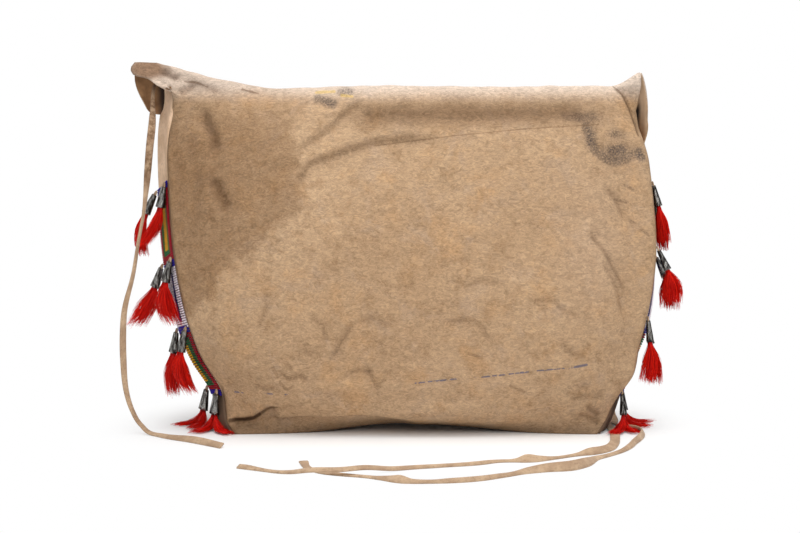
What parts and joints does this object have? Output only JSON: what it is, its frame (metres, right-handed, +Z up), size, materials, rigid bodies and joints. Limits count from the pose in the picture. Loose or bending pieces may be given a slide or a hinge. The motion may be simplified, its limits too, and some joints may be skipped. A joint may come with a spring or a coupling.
{
  "type": "beaded possible bag",
  "caption": "Stuffed, closed hide saddle bag with a folded flap, beaded side gussets, swinging tin-cone danglers with red hair tufts, and trailing hide ties; it stands on its base.",
  "frame": {"origin": "middle of the flat base, on the floor", "axes": "+Z up; -Y towards the plain back that the picture shows; +X to the right in the picture"},
  "size_m": [0.5603, 0.3422, 0.371],
  "materials": {
    "hide": "napped, tanned hide with stains",
    "thong": "napped hide thong",
    "strip_beads": "glossy opaque seed beads",
    "front_beads": "glossy opaque seed beads",
    "tin": "dull tinned sheet",
    "hair": "dyed horse hair"
  },
  "bodies": {
    "bag": {"bag_hide": "hide", "front_bead_panel": "front_beads", "left_gusset": "hide", "right_gusset": "hide", "left_bead_strip": "strip_beads", "right_bead_strip": "strip_beads", "left_tie": "thong", "right_tie_upper": "thong", "right_tie_lower": "thong"},
    "left_back_dangler_1": {"left_back_tassel_1": "hair", "left_back_cone_1a": "tin", "left_back_cone_1b": "tin"},
    "left_back_dangler_2": {"left_back_tassel_2": "hair", "left_back_cone_2a": "tin", "left_back_cone_2b": "tin"},
    "left_back_dangler_3": {"left_back_tassel_3": "hair", "left_back_cone_3a": "tin", "left_back_cone_3b": "tin"},
    "left_back_dangler_4": {"left_back_tassel_4": "hair", "left_back_cone_4a": "tin", "left_back_cone_4b": "tin"},
    "left_front_dangler_1": {"left_front_tassel_1": "hair", "left_front_cone_1a": "tin", "left_front_cone_1b": "tin"},
    "left_front_dangler_2": {"left_front_tassel_2": "hair", "left_front_cone_2a": "tin", "left_front_cone_2b": "tin"},
    "left_front_dangler_3": {"left_front_tassel_3": "hair", "left_front_cone_3a": "tin", "left_front_cone_3b": "tin"},
    "left_front_dangler_4": {"left_front_tassel_4": "hair", "left_front_cone_4a": "tin", "left_front_cone_4b": "tin"},
    "right_back_dangler_1": {"right_back_tassel_1": "hair", "right_back_cone_1a": "tin", "right_back_cone_1b": "tin"},
    "right_back_dangler_2": {"right_back_tassel_2": "hair", "right_back_cone_2a": "tin", "right_back_cone_2b": "tin"},
    "right_back_dangler_3": {"right_back_tassel_3": "hair", "right_back_cone_3a": "tin", "right_back_cone_3b": "tin"},
    "right_back_dangler_4": {"right_back_tassel_4": "hair", "right_back_cone_4a": "tin", "right_back_cone_4b": "tin"},
    "right_front_dangler_1": {"right_front_tassel_1": "hair", "right_front_cone_1a": "tin", "right_front_cone_1b": "tin"},
    "right_front_dangler_2": {"right_front_tassel_2": "hair", "right_front_cone_2a": "tin", "right_front_cone_2b": "tin"},
    "right_front_dangler_3": {"right_front_tassel_3": "hair", "right_front_cone_3a": "tin", "right_front_cone_3b": "tin"},
    "right_front_dangler_4": {"right_front_tassel_4": "hair", "right_front_cone_4a": "tin", "right_front_cone_4b": "tin"}
  },
  "joints": [
    {"name": "left_back_swing_1", "type": "hinge", "parent": "bag", "child": "left_back_dangler_1", "pos_m": [-0.24551, -0.01196, 0.24937], "axis": [0, 1, 0], "range_deg": [0, 55]},
    {"name": "left_back_swing_2", "type": "hinge", "parent": "bag", "child": "left_back_dangler_2", "pos_m": [-0.23822, -0.0246, 0.17493], "axis": [0, 1, 0], "range_deg": [0, 55]},
    {"name": "left_back_swing_3", "type": "hinge", "parent": "bag", "child": "left_back_dangler_3", "pos_m": [-0.22329, -0.03011, 0.10544], "axis": [0, 1, 0], "range_deg": [-5, 55]},
    {"name": "left_back_swing_4", "type": "hinge", "parent": "bag", "child": "left_back_dangler_4", "pos_m": [-0.19306, -0.02851, 0.04162], "axis": [0, 1, 0], "range_deg": [0, 25]},
    {"name": "left_front_swing_1", "type": "hinge", "parent": "bag", "child": "left_front_dangler_1", "pos_m": [-0.25833, 0.01689, 0.23982], "axis": [0, 1, 0], "range_deg": [0, 55]},
    {"name": "left_front_swing_2", "type": "hinge", "parent": "bag", "child": "left_front_dangler_2", "pos_m": [-0.25108, 0.00434, 0.16567], "axis": [0, 1, 0], "range_deg": [0, 55]},
    {"name": "left_front_swing_3", "type": "hinge", "parent": "bag", "child": "left_front_dangler_3", "pos_m": [-0.23651, -0.00038, 0.09993], "axis": [0, 1, 0], "range_deg": [-5, 55]},
    {"name": "left_front_swing_4", "type": "hinge", "parent": "bag", "child": "left_front_dangler_4", "pos_m": [-0.20645, 0.00163, 0.04039], "axis": [0, 1, 0], "range_deg": [0, 20]},
    {"name": "right_back_swing_1", "type": "hinge", "parent": "bag", "child": "right_back_dangler_1", "pos_m": [0.24648, -0.01121, 0.25034], "axis": [0, -1, 0], "range_deg": [0, 55]},
    {"name": "right_back_swing_2", "type": "hinge", "parent": "bag", "child": "right_back_dangler_2", "pos_m": [0.25013, -0.0224, 0.18561], "axis": [0, -1, 0], "range_deg": [0, 45]},
    {"name": "right_back_swing_3", "type": "hinge", "parent": "bag", "child": "right_back_dangler_3", "pos_m": [0.24084, -0.02947, 0.11565], "axis": [0, -1, 0], "range_deg": [-5, 55]},
    {"name": "right_back_swing_4", "type": "hinge", "parent": "bag", "child": "right_back_dangler_4", "pos_m": [0.21634, -0.02822, 0.04136], "axis": [0, -1, 0], "range_deg": [0, 25]},
    {"name": "right_front_swing_1", "type": "hinge", "parent": "bag", "child": "right_front_dangler_1", "pos_m": [0.24994, 0.01992, 0.24002], "axis": [0, -1, 0], "range_deg": [0, 55]},
    {"name": "right_front_swing_2", "type": "hinge", "parent": "bag", "child": "right_front_dangler_2", "pos_m": [0.2536, 0.00877, 0.17547], "axis": [0, -1, 0], "range_deg": [0, 45]},
    {"name": "right_front_swing_3", "type": "hinge", "parent": "bag", "child": "right_front_dangler_3", "pos_m": [0.2444, 0.00264, 0.10894], "axis": [0, -1, 0], "range_deg": [-5, 55]},
    {"name": "right_front_swing_4", "type": "hinge", "parent": "bag", "child": "right_front_dangler_4", "pos_m": [0.21998, 0.00456, 0.04003], "axis": [0, -1, 0], "range_deg": [0, 20]}
  ]
}
